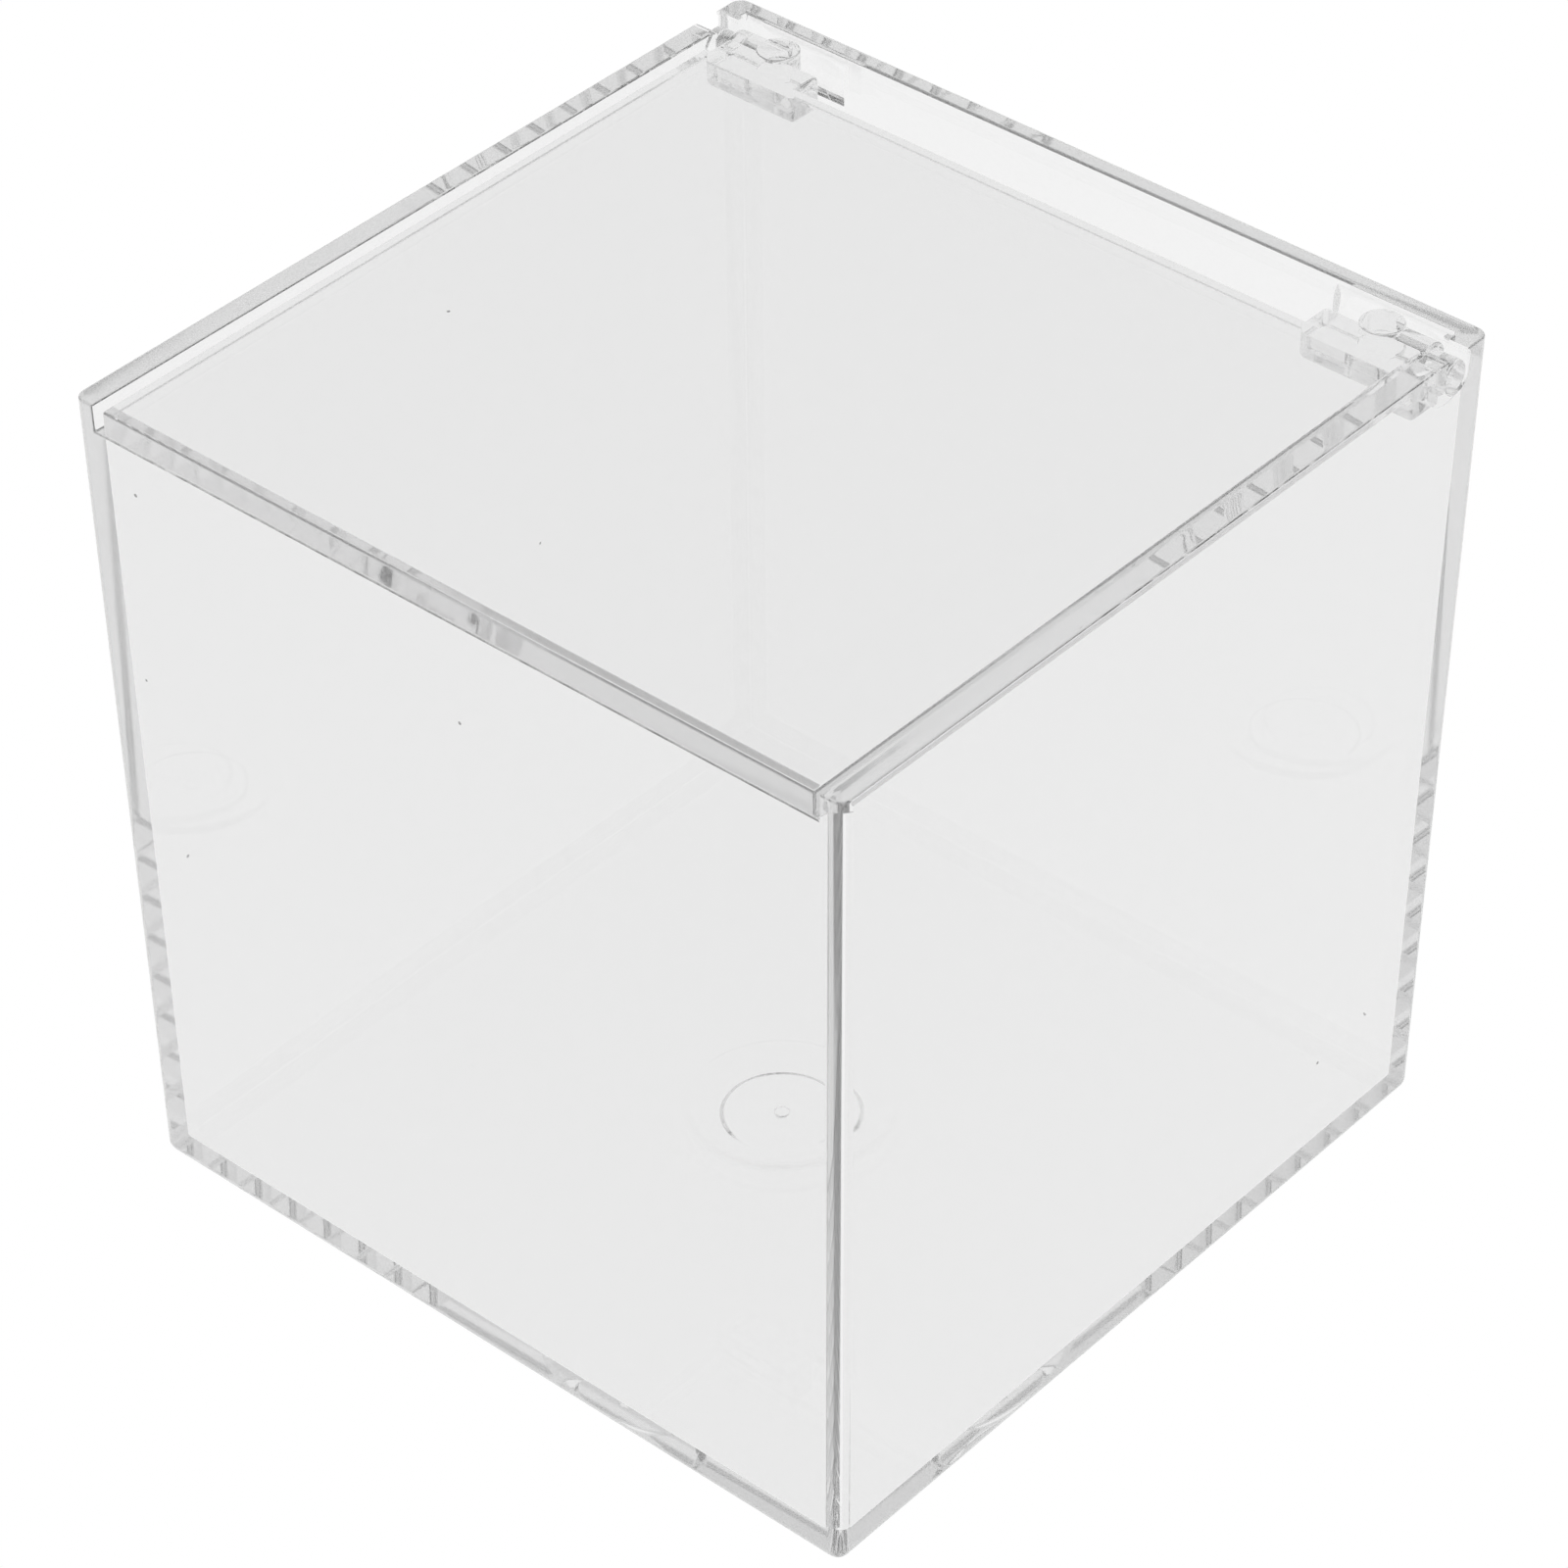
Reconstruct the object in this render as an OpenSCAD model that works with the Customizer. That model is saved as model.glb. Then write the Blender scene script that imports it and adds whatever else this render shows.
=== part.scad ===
// Clear display cube: a drafted five-sided box with a hinged lid that drops between the side walls.
// Origin at the middle of the underside. X runs left to right along the front, the hinge is at +Y.

/* [Box] */
// Outside width at the rim
box_w = 85; // [60:1:140]
// Outside depth at the rim
box_d = 85; // [60:1:140]
// Outside height
box_h = 85; // [50:1:160]
// Thickness of the walls
wall = 2.4; // [1.8:0.1:4]
// Thickness of the floor
floor_t = 2.4; // [1.8:0.1:4]
// How far each outer face leans in from rim to base
draft = 1.3; // [0:0.1:2.5]
// Radius of the outer corners and of the bottom edge
corner_r = 1.3; // [0.6:0.1:1.8]
// Radius of the corners inside
inner_r = 0.25; // [0.15:0.05:1.2]

/* [Lid] */
// Thickness of the lid
lid_t = 2.6; // [1.6:0.1:3]
// Side clearance between lid and wall, each side
lid_gap = 0.8; // [0.4:0.05:1.2]
// Share of its side clearance that the lid sits off to the right
side_play = 0.5; // [0:0.05:0.6]
// Air under the lid where it lies on the front wall
seat_gap = 0.05; // [0.02:0.01:0.2]
// From the back wall's inner face to the lid's rear edge
lid_rear = 6.4; // [5.4:0.1:9]
// Round on the lid's edges
lid_edge_r = 0.3; // [0.1:0.05:0.5]

/* [Hinge] */
// From the back wall's inner face to the hinge axis
axis_in = 2.3; // [2.3:0.1:3]
// From the rim down to the hinge axis
axis_down = 2.3; // [2.2:0.05:2.6]
// Radius of the pivot pins
pin_r = 1.6; // [1.2:0.05:1.6]
// Wall of the hub round a pivot pin
hub_wall = 0.6; // [0.4:0.05:0.6]
// Radial clearance of a pivot pin in its bearing
pin_clear = 0.08; // [0.02:0.01:0.1]
// How far each snap lip narrows the mouth of the bearing slot
snap_lip = 0.2; // [0:0.05:0.3]
// Length of a hinge block along X
block_len = 10.8; // [7:0.1:16]
// Depth of a hinge block behind the lid's rear edge
block_d = 3.5; // [2.8:0.1:4]
// Height of a hinge block
block_h = 5; // [4:0.1:8]
// How far a block's top lies below the rim
block_drop = 0.35; // [0:0.05:0.8]
// Radius of the round post on a block
post_r = 2.05; // [1.7:0.05:2.2]
// From a block's inner end to the post's axis
post_in = 5.6; // [3:0.1:6]
// Swing clearance between hinge block and back wall
swing_gap = 0.25; // [0.15:0.05:0.5]
// Radius of the thrust pads beside the pins
pad_r = 3.1; // [2.6:0.1:4]
// Clearance between a thrust pad and the block beside it
pad_gap = 0.1; // [0.05:0.05:0.15]

/* [Floor gate mark] */
// Radius of the raised round in the floor
rise_r = 9.6; // [6:0.1:14]
// Width of its sloping edge
rise_slope = 1.4; // [0.5:0.1:3]
// Height of the raised round, and depth of the recess below it
rise_h = 0.5; // [0.2:0.1:0.9]
// Radius of the recess in the underside
recess_r = 5.8; // [3:0.1:8]
// Radius of the gate stub in the recess
gate_r = 0.7; // [0.4:0.1:1.2]
// Height of the gate stub
gate_h = 0.3; // [0.1:0.05:0.4]

/* [Hidden] */

eps = 0.01;  // small overlap, so that faces never coincide
over = 5;  // how far a cutter reaches past what it cuts
round_fn = 32;
bore_fn = 64;
clear_plastic = [0.86, 0.9, 0.92, 0.5];

front_y = -box_d / 2;
back_y = box_d / 2;
inner_x = box_w / 2 - wall;
inner_back_y = back_y - wall;

axis_y = inner_back_y - axis_in;
axis_z = box_h - axis_down;
bearing_r = pin_r + pin_clear;

lid_half_w = inner_x - lid_gap;
lid_shift = lid_gap * side_play;
lid_bottom = box_h - lid_t;
lid_rear_y = inner_back_y - lid_rear;
front_top = lid_bottom - seat_gap;

block_top = box_h - block_drop;
block_x0 = lid_half_w - block_len;
post_x = block_x0 + post_in;
hub_r = pin_r + hub_wall;
pad_t = lid_gap - lid_shift - pad_gap;
pin_seat = 3;  // how deep a pin is pressed into its block
pin_end_gap = 0.2;  // how far a pin's end stays inside the box's outer face
pin_end_x = box_w / 2 - pin_end_gap - lid_shift;
swing_r = sqrt(pow(post_r, 2) + pow(axis_down, 2)) + swing_gap;

bevel_w = 0.7;  // bevel along the top of the back wall
bevel_h = 1.4;
lip_z = 0.35;  // snap lips: their lower and upper edge, down from the rim
lip_top_z = 0.1;

// Leaning inset of an outer or inner face at height z
function lean(z) = draft * (1 - z / box_h);

// Upright block with leaning sides and rounded upright corners, between two heights
module leaning_block(half_w, half_d, z0, z1, r) {
  hull() {
    leaning_slice(half_w, half_d, z0, r);
    leaning_slice(half_w, half_d, z1 - eps, r);
  }
}

module leaning_slice(half_w, half_d, z, r) {
  for (sx = [-1, 1], sy = [-1, 1])
    translate([sx * (half_w - lean(z) - r), sy * (half_d - lean(z) - r), z])
      cylinder(r = r, h = eps, $fn = round_fn);
}

// The outside of the box, with its bottom edge rounded by rings that shrink towards the base
module outside() {
  hull() {
    leaning_slice(box_w / 2, box_d / 2, box_h - eps, corner_r);
    for (a = [0:15:90]) {
      z = corner_r * (1 - cos(a));
      r = max(corner_r * sin(a), eps);
      leaning_slice(box_w / 2 - corner_r + r, box_d / 2 - corner_r + r, z, r);
    }
  }
}

// Profile of the bearing slot, in the YZ plane and centred on the hinge axis: round at the
// bottom, open at the rim, with two lips that the pin snaps past
module slot_profile() {
  circle(r = bearing_r, $fn = bore_fn);
  rim = axis_down + eps;
  polygon([
    [-bearing_r, 0], [bearing_r, 0],
    [bearing_r, axis_down - 2 * lip_z],
    [bearing_r - snap_lip, axis_down - lip_z],
    [bearing_r - snap_lip, axis_down - lip_top_z],
    [bearing_r, rim], [-bearing_r, rim],
    [snap_lip - bearing_r, axis_down - lip_top_z],
    [snap_lip - bearing_r, axis_down - lip_z],
    [-bearing_r, axis_down - 2 * lip_z]
  ]);
}

// Turns a YZ profile into a bar along X, from x0 to x1, on the hinge axis
module along_axis(x0, x1) {
  translate([x0, axis_y, axis_z]) rotate([90, 0, 90])
    linear_extrude(x1 - x0) children();
}

module gate_rise() {
  rotate_extrude($fn = bore_fn)
    polygon([[0, floor_t - eps], [rise_r, floor_t - eps],
             [rise_r - rise_slope, floor_t + rise_h], [0, floor_t + rise_h]]);
}

// Opening above the front wall, which stops under the lid: as wide as the inside, and leaning with it
module front_cut() {
  top = box_h + over;
  low_x = inner_x - lean(front_top);
  top_x = inner_x - lean(top);
  translate([0, front_y + wall + over, 0]) rotate([90, 0, 0])
    linear_extrude(over + wall + over)
      polygon([[-low_x, front_top], [low_x, front_top], [top_x, top], [-top_x, top]]);
}

// Drafted walls and floor, with the front wall cut down and the back wall bevelled
module walls() {
  difference() {
    outside();
    leaning_block(box_w / 2 - wall, box_d / 2 - wall, floor_t, box_h + eps, inner_r);
    front_cut();
    // bevel along the top of the back wall, inside
    translate([-inner_x, inner_back_y, box_h]) rotate([90, 0, 90])
      linear_extrude(2 * inner_x)
        polygon([[-over, eps], [bevel_w, eps], [0, -bevel_h], [-over, -bevel_h]]);
  }
}

module box_shell() {
  color(clear_plastic)
    difference() {
      union() {
        walls();
        gate_rise();
        for (side = [-1, 1]) thrust_pad(side);
      }
      for (side = [-1, 1]) {
        bearing_slot(side);
        swing_room(side);
      }
      // nothing stands above the rim
      translate([-box_w, -box_d, box_h]) cube([2 * box_w, 2 * box_d, over]);
      // recess round the gate stub, in the underside
      difference() {
        translate([0, 0, -eps]) cylinder(r = recess_r, h = rise_h + eps, $fn = bore_fn);
        translate([0, 0, rise_h - gate_h]) cylinder(r = gate_r, h = gate_h + eps, $fn = bore_fn);
      }
    }
}

module thrust_pad(side) {
  x0 = side > 0 ? inner_x - pad_t : -inner_x - eps;
  along_axis(x0, x0 + pad_t + eps) circle(r = pad_r, $fn = bore_fn);
}

// Scoop in the back wall that the post and the hub swing through
module swing_room(side) {
  x0 = side > 0 ? block_x0 - lid_gap : -inner_x + pad_t;
  along_axis(x0, x0 + block_len + 2 * lid_gap - pad_t) circle(r = swing_r, $fn = bore_fn);
}

module bearing_slot(side) {
  x0 = side > 0 ? inner_x - pad_t - eps : -box_w / 2 - eps;
  along_axis(x0, x0 + wall + pad_t + 2 * eps) slot_profile();
}

// Rectangle with rounded corners, its lowest corner at the origin
module eased_rectangle(w, h, r) {
  translate([r, 0]) square([w - 2 * r, h]);
  translate([0, r]) square([w, h - 2 * r]);
  for (x = [r, w - r], y = [r, h - r])
    translate([x, y]) circle(r = r, $fn = round_fn);
}

// Flat plate with its edges eased, as the mould leaves them
module lid_panel() {
  lid_d = lid_rear_y - front_y;
  color(clear_plastic)
    translate([lid_shift, 0, lid_bottom])
      intersection() {
        translate([-lid_half_w, lid_rear_y, 0]) rotate([90, 0, 0])
          linear_extrude(lid_d) eased_rectangle(2 * lid_half_w, lid_t, lid_edge_r);
        translate([-lid_half_w, front_y, 0]) rotate([90, 0, 90])
          linear_extrude(2 * lid_half_w) eased_rectangle(lid_d, lid_t, lid_edge_r);
      }
}

// Block at a rear corner of the lid, with its round post and the hole for the pivot pin
module hinge_block(side) {
  color(clear_plastic)
    translate([lid_shift, 0, 0]) mirror([side > 0 ? 0 : 1, 0, 0])
      difference() {
        union() {
          translate([block_x0, lid_rear_y, block_top - block_h]) cube([block_len, block_d, block_h]);
          translate([post_x, axis_y, block_top - block_h])
            cylinder(r = post_r, h = block_h + block_drop, $fn = bore_fn);
          along_axis(post_x, lid_half_w) circle(r = hub_r, $fn = bore_fn);
        }
        along_axis(lid_half_w - pin_seat, lid_half_w + eps) circle(r = pin_r, $fn = bore_fn);
      }
}

// Pivot pin, pressed into its block and turning in the side wall's slot
module hinge_pin(side) {
  color(clear_plastic)
    translate([lid_shift, 0, 0]) mirror([side > 0 ? 0 : 1, 0, 0])
      along_axis(lid_half_w - pin_seat, pin_end_x) circle(r = pin_r, $fn = bore_fn);
}

box_shell();
lid_panel();
hinge_block(-1);  // hinge_block_left
hinge_block(1);  // hinge_block_right
hinge_pin(-1);  // hinge_pin_left
hinge_pin(1);  // hinge_pin_right
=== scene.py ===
import math

import bmesh
import bpy
from mathutils import Matrix, Quaternion, Vector


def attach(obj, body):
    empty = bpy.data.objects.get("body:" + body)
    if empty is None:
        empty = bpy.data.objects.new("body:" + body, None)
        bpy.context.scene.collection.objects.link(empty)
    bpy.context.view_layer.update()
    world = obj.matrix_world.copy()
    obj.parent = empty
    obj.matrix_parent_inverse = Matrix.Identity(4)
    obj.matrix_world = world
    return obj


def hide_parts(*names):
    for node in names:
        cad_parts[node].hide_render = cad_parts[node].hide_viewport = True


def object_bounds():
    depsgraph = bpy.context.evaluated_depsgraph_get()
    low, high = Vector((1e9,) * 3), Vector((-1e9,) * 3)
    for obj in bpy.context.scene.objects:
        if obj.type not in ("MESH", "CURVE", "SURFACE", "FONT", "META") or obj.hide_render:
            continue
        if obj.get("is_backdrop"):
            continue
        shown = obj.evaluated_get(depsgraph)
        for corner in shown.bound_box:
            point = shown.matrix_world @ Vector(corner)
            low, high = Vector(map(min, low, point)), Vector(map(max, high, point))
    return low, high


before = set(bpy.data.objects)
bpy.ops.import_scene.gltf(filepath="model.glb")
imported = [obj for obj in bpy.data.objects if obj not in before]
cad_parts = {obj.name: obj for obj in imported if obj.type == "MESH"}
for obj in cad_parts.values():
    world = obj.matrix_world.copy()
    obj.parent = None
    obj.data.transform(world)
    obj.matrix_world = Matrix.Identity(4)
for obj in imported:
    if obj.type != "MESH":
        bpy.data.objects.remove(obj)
cad_low, cad_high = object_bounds()
scene = bpy.context.scene
MM = 0.001


# Studio
# A plain pale table under a pale room, which is a little darker overhead and to the left. The
# camera stands to the right of the front and looks down on the box at a little under 40 degrees.
CAMERA_AZIMUTH, CAMERA_ELEVATION, CAMERA_ROLL = 41.16, 38.47, 0.38
CAMERA_DISTANCE = 0.524
CAMERA_LENS = 135.3
AIM_OFF_CENTRE = Vector((0.6, -1.3, -1.75)) * MM
LIGHT_BOUNCES = 160
TABLE_HALF = 2.0
TABLE_GAP = 0.02 * MM
ROOM_OVERHEAD, ROOM_LEFT = 0.92, 0.82


def linear(code):
    """An sRGB hex colour as linear RGBA."""
    parts = [int(code[i:i + 2], 16) / 255 for i in (1, 3, 5)]
    return [p / 12.92 if p <= 0.04045 else ((p + 0.055) / 1.055) ** 2.4 for p in parts] + [1.0]


def add(tree, kind, settings, links):
    """Adds a node with its settings and links. Inputs are given by name or by number."""
    node = tree.nodes.new(kind)
    for name, value in settings.items():
        if isinstance(name, int) or name in node.inputs:
            node.inputs[name].default_value = value
        else:
            setattr(node, name, value)
    for name, output in links.items():
        tree.links.new(output, node.inputs[name])
    return node


def empty_tree(owner):
    """The node tree of a material or a world, with nothing in it."""
    owner.use_nodes = True
    owner.node_tree.nodes.clear()
    return owner.node_tree


def as_object(name, bm):
    """A new object with this bmesh as its mesh."""
    mesh = bpy.data.meshes.new(name)
    bm.to_mesh(mesh)
    bm.free()
    piece = bpy.data.objects.new(name, mesh)
    scene.collection.objects.link(piece)
    return piece


azimuth, elevation = math.radians(CAMERA_AZIMUTH), math.radians(CAMERA_ELEVATION)
towards = Vector((math.sin(azimuth) * math.cos(elevation), -math.cos(azimuth) * math.cos(elevation),
                  math.sin(elevation)))
lens = bpy.data.cameras.new("camera")
lens.lens = CAMERA_LENS
camera = bpy.data.objects.new("camera", lens)
scene.collection.objects.link(camera)
camera.location = (cad_low + cad_high) / 2 + AIM_OFF_CENTRE + towards * CAMERA_DISTANCE
camera.rotation_mode = "QUATERNION"
camera.rotation_quaternion = ((-towards).to_track_quat("-Z", "Y")
                              @ Quaternion((0, 0, 1), -math.radians(CAMERA_ROLL)))
scene.camera = camera
scene.view_settings.view_transform = "Standard"
scene.cycles.max_bounces = LIGHT_BOUNCES
scene.cycles.transmission_bounces = LIGHT_BOUNCES
scene.cycles.glossy_bounces = LIGHT_BOUNCES

# matt white laminate: lit so evenly that it shows as plain white
laminate = bpy.data.materials.new("matt white laminate table top")
tree = empty_tree(laminate)
glow = add(tree, "ShaderNodeEmission", {"Color": linear("#FFFFFF"), "Strength": 1.0}, {})
add(tree, "ShaderNodeOutputMaterial", {}, {"Surface": glow.outputs[0]})
bm = bmesh.new()
bmesh.ops.create_grid(bm, x_segments=1, y_segments=1, size=TABLE_HALF)
bmesh.ops.translate(bm, vec=(0, 0, cad_low.z - TABLE_GAP), verts=bm.verts)
table = as_object("table", bm)
table.data.materials.append(laminate)
table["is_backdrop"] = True

room = bpy.data.worlds.new("pale room")
scene.world = room
tree = empty_tree(room)
way = add(tree, "ShaderNodeTexCoord", {}, {})
axes = add(tree, "ShaderNodeSeparateXYZ", {}, {"Vector": way.outputs["Generated"]})
upward = add(tree, "ShaderNodeMapRange",
             {"From Min": 0.0, "From Max": 1.0, "To Min": 1.0, "To Max": ROOM_OVERHEAD},
             {"Value": axes.outputs["Z"]})
leftward = add(tree, "ShaderNodeMapRange",
               {"From Min": -0.9, "From Max": 0.3, "To Min": ROOM_LEFT, "To Max": 1.0},
               {"Value": axes.outputs["X"]})
both = add(tree, "ShaderNodeMath", {"operation": "MULTIPLY"},
           {0: upward.outputs[0], 1: leftward.outputs[0]})
sky = add(tree, "ShaderNodeBackground", {"Color": linear("#FFFFFF")}, {"Strength": both.outputs[0]})
add(tree, "ShaderNodeOutputWorld", {}, {"Surface": sky.outputs[0]})


# Box
# Four walls and a floor of clear acrylic, injection moulded in one, so every outer face leans in
# towards the base. The front wall stops under the lid, and the side walls have the hinge slots.
BOX_W, BOX_D, BOX_H = ((cad_high - cad_low) / MM)
WALL, FLOOR_T = 2.4, 2.4
DRAFT = 1.3
CORNER_R, EDGE_R = 1.3, 0.25
LID_T, SEAT_GAP = 2.6, 0.05
AXIS_Y, AXIS_Z = BOX_D / 2 - 4.7, BOX_H - 2.3
BEARING_R, MOUTH_R, MOUTH_Z = 1.68, 1.48, 0.45
PAD_R, PAD_T = 3.1, 0.3
SWING_R, SWING_LEN = 3.33, 12.1
BEVEL_W, BEVEL_H = 0.7, 1.4
RISE_R, RISE_SLOPE, RISE_H = 9.6, 1.4, 0.5
RECESS_R, RECESS_SLOPE, GATE_R, GATE_H = 5.8, 0.5, 0.7, 0.3
GATE_EDGE_R = 0.1
INNER_X = BOX_W / 2 - WALL
OVER, SUNK = 5, 0.5
ROUND_STEPS, TURN_STEPS, SLOPE_STEPS = 64, 96, 10
LEVEL_TOLERANCE, CUT_TOLERANCE, WELD_TOLERANCE = 1e-6, 1e-5, 1e-4
EASED_ANGLE, SMOOTH_ANGLE = 60, 28


def settle(piece):
    """Makes the modifiers' result the piece's own mesh."""
    seen = piece.evaluated_get(bpy.context.evaluated_depsgraph_get())
    piece.data = bpy.data.meshes.new_from_object(seen)
    piece.modifiers.clear()


def carve(piece, bm, operation="DIFFERENCE"):
    """Cuts a closed shape away from the piece, or joins it on with UNION."""
    bmesh.ops.recalc_face_normals(bm, faces=bm.faces)
    tool = as_object("tool", bm)
    change = piece.modifiers.new("carve", "BOOLEAN")
    change.operation, change.solver, change.object = operation, "EXACT", tool
    settle(piece)
    bpy.data.objects.remove(tool)


def ease(piece, width, segments):
    """Rounds the edges where faces meet at a steep angle."""
    change = piece.modifiers.new("ease", "BEVEL")
    change.width, change.segments, change.profile = width, segments, 0.5
    change.limit_method, change.angle_limit = "ANGLE", math.radians(EASED_ANGLE)
    change.use_clamp_overlap = False
    settle(piece)


def brick(low, high):
    """A rectangular block between two corners."""
    bm = bmesh.new()
    low, high = Vector(low), Vector(high)
    bmesh.ops.create_cube(bm, size=1, matrix=Matrix.Translation((low + high) / 2)
                          @ Matrix.Diagonal((*(high - low), 1)))
    return bm


def drafted(half_w, half_d, low, high):
    """A block whose upright sides lean in with the box's draft."""
    bm = brick((-half_w, -half_d, low), (half_w, half_d, high))
    for v in bm.verts:
        lean = DRAFT * (1 - v.co.z / BOX_H)
        v.co.x -= lean * math.copysign(1, v.co.x)
        v.co.y -= lean * math.copysign(1, v.co.y)
    return bm


def split_level(bm, height):
    """Cuts every face of a shape at this height, and takes nothing away."""
    bmesh.ops.bisect_plane(bm, geom=bm.verts[:] + bm.edges[:] + bm.faces[:],
                           dist=CUT_TOLERANCE, plane_co=(0, 0, height), plane_no=(0, 0, 1))


def bar(radius, length, place, along, end_r):
    """A round bar put in place, with its ends eased by end_r. It lies along X (0) or Z (2)."""
    bm = bmesh.new()
    bmesh.ops.create_cone(bm, cap_ends=True, segments=ROUND_STEPS, radius1=radius, radius2=radius,
                          depth=length, matrix=place)
    if end_r:
        rims = [e for e in bm.edges
                if abs(e.verts[0].co[along] - e.verts[1].co[along]) < LEVEL_TOLERANCE]
        bmesh.ops.bevel(bm, geom=rims, offset=end_r, offset_type="OFFSET", segments=4, profile=0.5,
                        affect="EDGES", material=-1)
    return bm


def rod(radius, start, end, end_r=0.0):
    """A round bar on the hinge line, between two places along X."""
    place = (Matrix.Translation(((start + end) / 2, AXIS_Y, AXIS_Z))
             @ Matrix.Rotation(math.pi / 2, 4, "Y"))
    return bar(radius, abs(end - start), place, 0, end_r)


def upright(radius, x, y, low, high, end_r):
    """An upright round post between two heights."""
    return bar(radius, high - low, Matrix.Translation((x, y, (low + high) / 2)), 2, end_r)


def mound(radius, slope, base, height):
    """A low round swelling with a soft edge, standing on z = base; a dip if height is negative."""
    bm = bmesh.new()
    sunk = base - math.copysign(SUNK, height)
    line = [bm.verts.new((0, 0, sunk)), bm.verts.new((radius, 0, sunk))]
    for i in range(SLOPE_STEPS + 1):
        rise = height * (1 - math.cos(math.pi * i / SLOPE_STEPS)) / 2
        line.append(bm.verts.new((radius - slope * i / SLOPE_STEPS, 0, base + rise)))
    line.append(bm.verts.new((0, 0, base + height)))
    edges = [bm.edges.new(pair) for pair in zip(line, line[1:])]
    bmesh.ops.spin(bm, geom=line + edges, cent=(0, 0, 0), axis=(0, 0, 1), angle=2 * math.pi,
                   steps=TURN_STEPS, use_merge=True)
    bmesh.ops.remove_doubles(bm, verts=bm.verts, dist=WELD_TOLERANCE)
    return bm


def in_metres(piece):
    """Turns a piece modelled in millimetres into metres."""
    piece.data.transform(Matrix.Scale(MM, 4))


def polish(piece, material):
    """Gives the piece its material, flat faces that stay flat, and round ones that shade round."""
    piece.data.materials.clear()
    piece.data.materials.append(material)
    piece.data.shade_smooth()
    piece.data.set_sharp_from_angle(angle=math.radians(SMOOTH_ANGLE))
    weigh = piece.modifiers.new("flat faces stay flat", "WEIGHTED_NORMAL")
    weigh.mode, weigh.weight, weigh.keep_sharp = "FACE_AREA", 100, True


# clear acrylic, injection moulded and as polished as its mould: the skin waves very slightly where
# the melt flowed, wiping leaves patches of faint haze, and a few specks of dust sit in it. A long
# way through it takes a little light, so edges look greyer than faces
WAVE_PITCH, WAVE_DEPTH = 11, 0.05
HAZE_PITCH, HAZE_LEAST, HAZE_MOST = 26, 0.008, 0.035
SPECK_PITCH, SPECK_R = 12, 0.18
acrylic = bpy.data.materials.new("clear acrylic, injection moulded and polished")
tree = empty_tree(acrylic)
place = add(tree, "ShaderNodeTexCoord", {}, {})
wave = add(tree, "ShaderNodeTexNoise",
           {"Scale": 1 / (WAVE_PITCH * MM), "Detail": 2, "Roughness": 0.4},
           {"Vector": place.outputs["Object"]})
skin = add(tree, "ShaderNodeBump", {"Strength": 0.04, "Distance": WAVE_DEPTH * MM},
           {"Height": wave.outputs["Fac"]})
smear = add(tree, "ShaderNodeTexNoise",
            {"Scale": 1 / (HAZE_PITCH * MM), "Detail": 4, "Distortion": 0.6},
            {"Vector": place.outputs["Object"]})
haze = add(tree, "ShaderNodeMapRange",
           {"From Min": 0.5, "From Max": 0.75, "To Min": HAZE_LEAST, "To Max": HAZE_MOST},
           {"Value": smear.outputs["Fac"]})
dust = add(tree, "ShaderNodeTexVoronoi", {"Scale": 1 / (SPECK_PITCH * MM)},
           {"Vector": place.outputs["Object"]})
speck = add(tree, "ShaderNodeMath", {"operation": "LESS_THAN", 1: SPECK_R / SPECK_PITCH},
            {0: dust.outputs["Distance"]})
tone = add(tree, "ShaderNodeMix",
           {"data_type": "RGBA", 6: linear("#F4F4F4"), 7: linear("#6E6E6E")},
           {0: speck.outputs[0]})
clear = add(tree, "ShaderNodeBsdfPrincipled", {"IOR": 1.49, "Transmission Weight": 1.0},
            {"Base Color": tone.outputs[2], "Roughness": haze.outputs[0], "Normal": skin.outputs[0]})
depth = add(tree, "ShaderNodeVolumeAbsorption", {"Color": linear("#000000"), "Density": 2.5}, {})
add(tree, "ShaderNodeOutputMaterial", {}, {"Surface": clear.outputs[0], "Volume": depth.outputs[0]})

outside = drafted(BOX_W / 2, BOX_D / 2, 0, BOX_H)
lower = [e for e in outside.edges if min(v.co.z for v in e.verts) < BOX_H / 2]
bmesh.ops.bevel(outside, geom=lower, offset=CORNER_R, offset_type="OFFSET", segments=8, profile=0.5,
                affect="EDGES", material=-1, clamp_overlap=True)
box = as_object("box", outside)

# the inside reaches forward above the front wall, so the side walls stay flat up to their ends,
# and back where the top of the back wall is bevelled
seat = BOX_H - LID_T - SEAT_GAP
bevel_foot = BOX_H - BEVEL_H
inside = drafted(INNER_X, BOX_D / 2 - WALL, FLOOR_T, BOX_H + OVER)
split_level(inside, bevel_foot)
for v in inside.verts:
    if v.co.y > 0:
        v.co.y += max(v.co.z - bevel_foot, 0) * BEVEL_W / BEVEL_H
split_level(inside, seat)
inside.normal_update()
above = [f for f in inside.faces if f.calc_center_median().z > seat and f.normal.y < -0.5]
grown = bmesh.ops.extrude_face_region(inside, geom=above)["geom"]
bmesh.ops.delete(inside, geom=above, context="FACES_ONLY")
bmesh.ops.translate(inside, vec=(0, -2 * OVER, 0),
                    verts=[part for part in grown if isinstance(part, bmesh.types.BMVert)])
carve(box, inside)
ease(box, EDGE_R, 3)
carve(box, mound(RISE_R, RISE_SLOPE, FLOOR_T, RISE_H), "UNION")
carve(box, mound(RECESS_R, RECESS_SLOPE, 0, RISE_H))
carve(box, upright(GATE_R, 0, 0, RISE_H - GATE_H, RISE_H + SUNK, GATE_EDGE_R), "UNION")
for side in (-1, 1):
    carve(box, rod(PAD_R, side * (INNER_X - PAD_T), side * (INNER_X + SUNK)), "UNION")
carve(box, brick((-BOX_W, -BOX_D, BOX_H), (BOX_W, BOX_D, BOX_H + OVER)))
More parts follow.
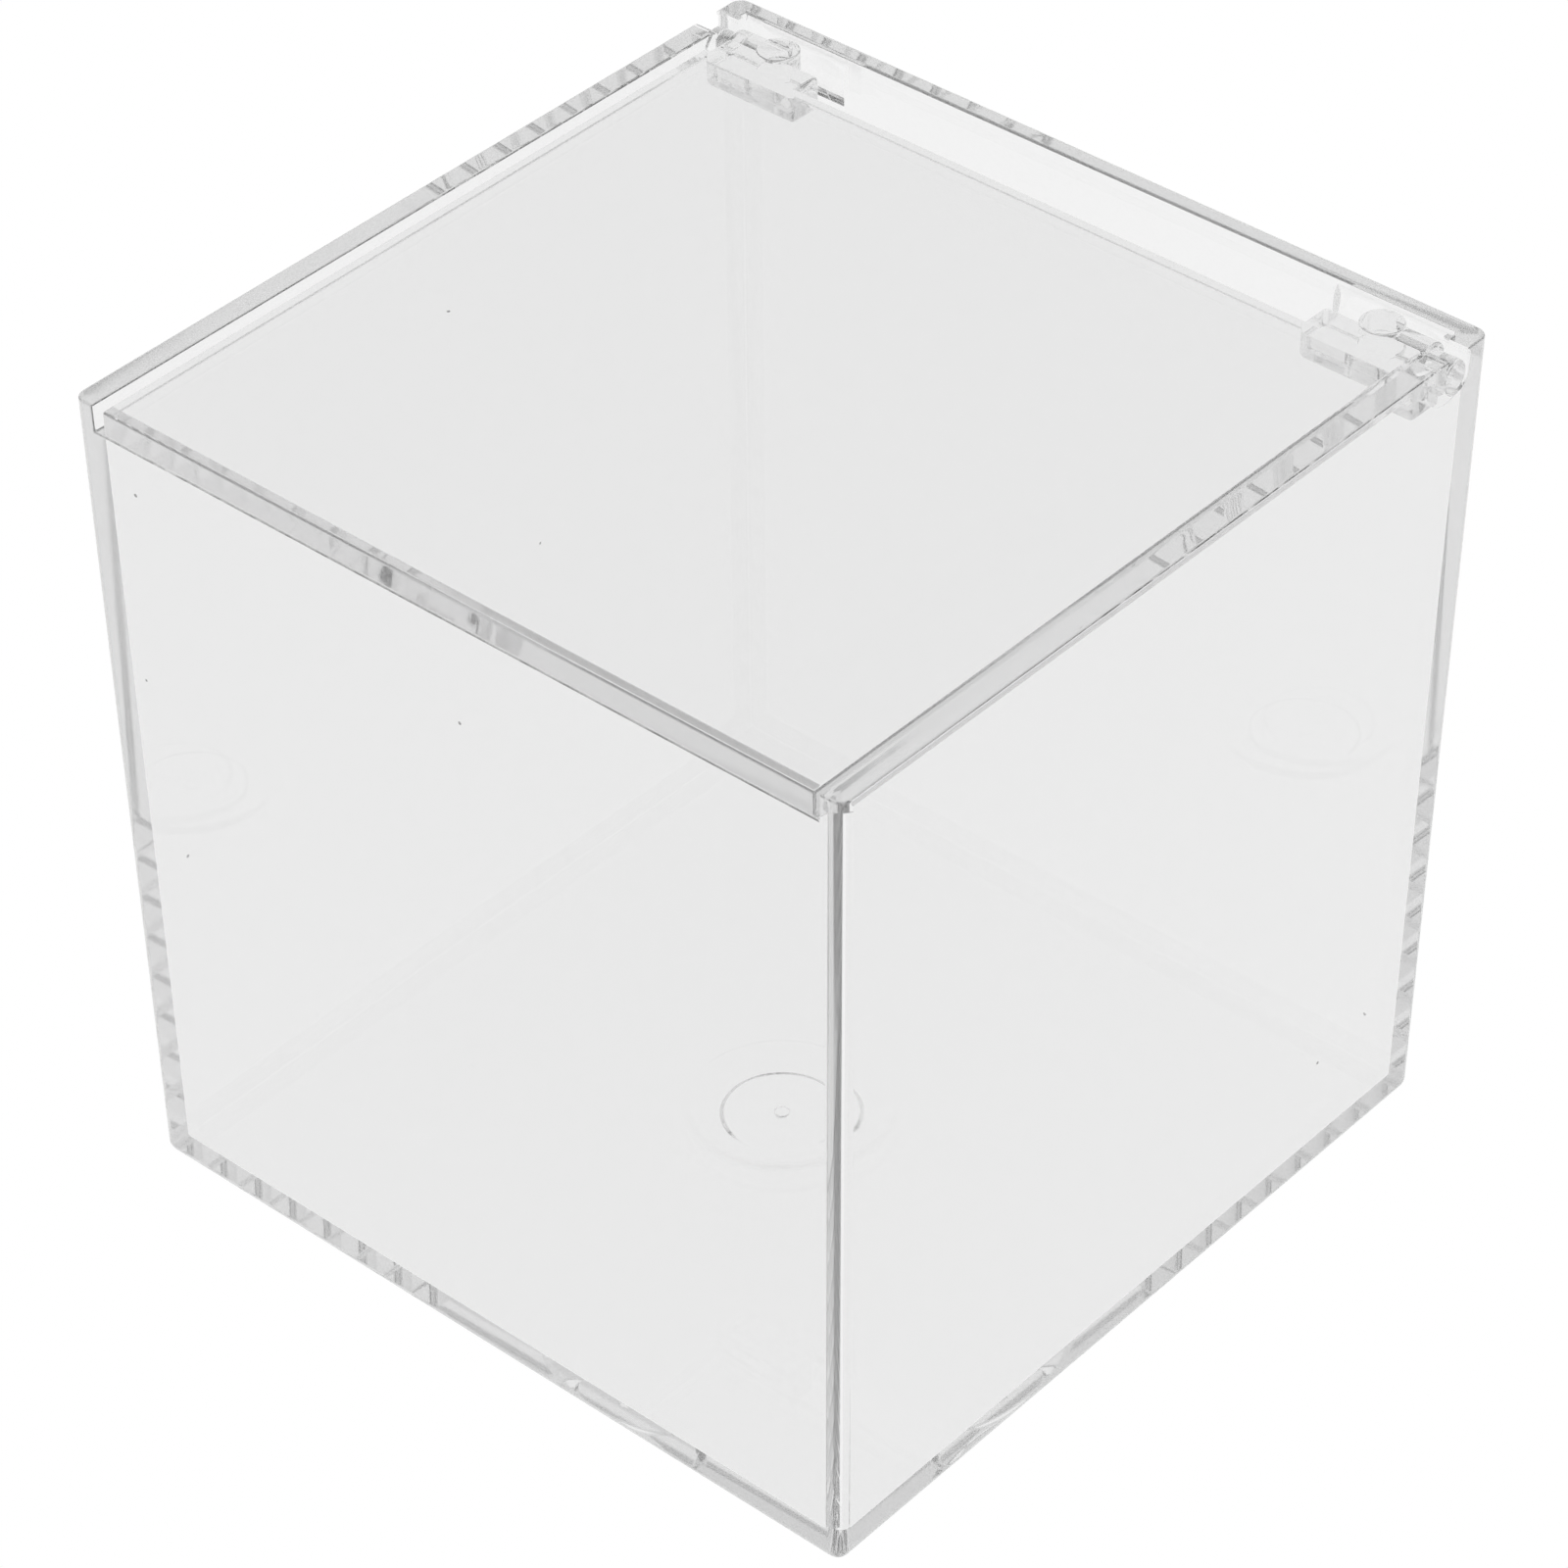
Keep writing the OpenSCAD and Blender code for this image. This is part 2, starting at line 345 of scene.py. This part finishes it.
for side in (-1, 1):
    ends = side * (INNER_X - OVER), side * (BOX_W / 2 + OVER)
    carve(box, rod(BEARING_R, *ends))
    for half, low, high in ((BEARING_R, AXIS_Z, BOX_H - MOUTH_Z), (MOUTH_R, AXIS_Z, BOX_H + OVER)):
        carve(box, brick((min(ends), AXIS_Y - half, low), (max(ends), AXIS_Y + half, high)))
    swing = side * (INNER_X - PAD_T)
    carve(box, rod(SWING_R, swing - side * SWING_LEN, swing))
in_metres(box)
polish(box, acrylic)
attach(box, "box")
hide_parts("box_shell")


# Lid
# A flat plate that drops between the side walls onto the front wall, with a hinge block behind
# each rear corner. A block carries a round ejector post and the pin that turns in the side wall.
LID_GAP, LID_SHIFT, LID_EDGE_R = 0.8, 0.4, 0.3
LID_REAR_Y = BOX_D / 2 - 8.8
LID_HALF_W = INNER_X - LID_GAP
BLOCK_LEN, BLOCK_D, BLOCK_H, BLOCK_DROP = 10.8, 3.5, 5.0, 0.35
BLOCK_R, BLOCK_ROOT = 0.6, 0.3
POST_R, POST_IN, POST_EDGE_R = 2.05, 5.6, 0.2
POST_ROOT = 0.05
PIN_R, PIN_ROOT, PIN_END_GAP, PIN_END_R = 1.6, 3, 0.2, 0.25
HUB_R, HUB_SHORT, HUB_END_R = 2.2, 0.02, 0.2


def eased_brick(low, high, radius):
    """A rectangular block with every edge rounded."""
    bm = brick(low, high)
    bmesh.ops.bevel(bm, geom=bm.edges[:], offset=radius, offset_type="OFFSET", segments=4,
                    profile=0.5, affect="EDGES", material=-1)
    return bm


block_x = LID_HALF_W - BLOCK_LEN
block_top = BOX_H - BLOCK_DROP
block_foot = block_top - BLOCK_H
lid = as_object("lid", eased_brick((-LID_HALF_W, -BOX_D / 2, BOX_H - LID_T),
                                   (LID_HALF_W, LID_REAR_Y, BOX_H), LID_EDGE_R))
for side in (-1, 1):
    x0, x1 = sorted((side * block_x, side * LID_HALF_W))
    post_x = side * (block_x + POST_IN)
    pin_end = side * (BOX_W / 2 - PIN_END_GAP - LID_SHIFT)
    carve(lid, eased_brick((x0, LID_REAR_Y - BLOCK_ROOT, block_foot),
                           (x1, LID_REAR_Y + BLOCK_D, block_top), BLOCK_R), "UNION")
    carve(lid, rod(HUB_R, post_x, side * (LID_HALF_W - HUB_SHORT), HUB_END_R), "UNION")
    carve(lid, rod(PIN_R, side * (LID_HALF_W - PIN_ROOT), pin_end, PIN_END_R), "UNION")
    carve(lid, upright(POST_R, post_x, AXIS_Y, block_foot + POST_ROOT, BOX_H, POST_EDGE_R), "UNION")
lid.data.transform(Matrix.Translation((LID_SHIFT, 0, 0)))
in_metres(lid)
polish(lid, acrylic)
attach(lid, "lid")
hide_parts("lid_panel", "hinge_block_left", "hinge_block_right", "hinge_pin_left",
            "hinge_pin_right")


low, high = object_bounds()
